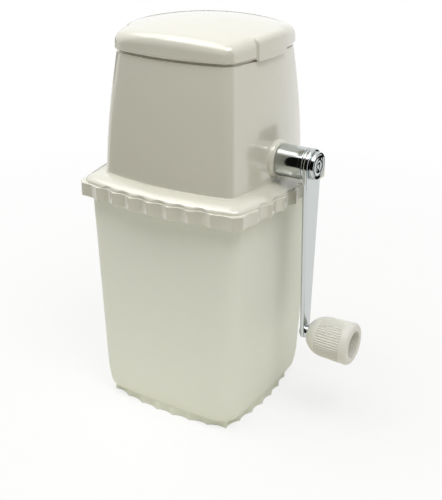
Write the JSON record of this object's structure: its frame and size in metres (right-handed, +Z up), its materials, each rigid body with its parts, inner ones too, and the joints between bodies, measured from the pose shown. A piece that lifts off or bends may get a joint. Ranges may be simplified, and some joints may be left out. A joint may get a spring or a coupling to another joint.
{
  "type": "hand-cranked ice crusher",
  "caption": "Hand-cranked ice crusher: square frosted catch tub, white tapering head with scalloped collar and lift-off lid, chrome side crank turning a bladed rotor between fixed combs.",
  "frame": {"origin": "centre of the tub's underside, on the table", "axes": "+Z up, +X towards the crank, -Y towards the front"},
  "size_m": [0.1651, 0.124, 0.2413],
  "materials": {
    "frosted_tub": "frosted translucent",
    "white_shell": "gloss",
    "inner_plastic": "satin",
    "tool_steel": "brushed",
    "chrome": "polished",
    "knob_plastic": "satin"
  },
  "bodies": {
    "container": {"container_tub": "frosted_tub"},
    "head": {"head_housing": "white_shell", "hopper_chute": "inner_plastic", "hopper_screws": "tool_steel", "comb_front": "tool_steel", "comb_rear": "tool_steel", "comb_screws_front": "tool_steel", "comb_screws_rear": "tool_steel", "throat_bush_left": "inner_plastic", "throat_bush_right": "inner_plastic", "boss_bush": "inner_plastic"},
    "lid": {"lid_shell": "white_shell"},
    "crank": {"rotor_shaft": "tool_steel", "shaft_clip": "tool_steel", "rotor_collar_left": "tool_steel", "rotor_collar_right": "tool_steel", "rotor_blade_1": "tool_steel", "rotor_blade_2": "tool_steel", "rotor_blade_3": "tool_steel", "rotor_blade_4": "tool_steel", "rotor_blade_5": "tool_steel", "rotor_spacer_1": "tool_steel", "rotor_spacer_2": "tool_steel", "rotor_spacer_3": "tool_steel", "rotor_spacer_4": "tool_steel", "hub_sleeve": "chrome", "hub_ring_1": "chrome", "hub_ring_2": "chrome", "hub_end_cap": "chrome", "crank_arm": "chrome", "knob_pin": "chrome", "knob_washer": "chrome"},
    "knob": {"knob_grip": "knob_plastic"}
  },
  "joints": [
    {"name": "head_lift", "type": "slide", "parent": "container", "child": "head", "axis": [0, 0, 1], "range_m": [0, 0.06]},
    {"name": "lid_lift", "type": "slide", "parent": "head", "child": "lid", "axis": [0, 0, 1], "range_m": [0, 0.05]},
    {"name": "crank_turn", "type": "hinge", "parent": "head", "child": "crank", "pos_m": [0.051, 0, 0.1645], "axis": [1, 0, 0], "continuous": true},
    {"name": "knob_spin", "type": "hinge", "parent": "crank", "child": "knob", "pos_m": [0.0745, 0.00283, 0.05654], "axis": [1, 0, 0], "continuous": true}
  ]
}
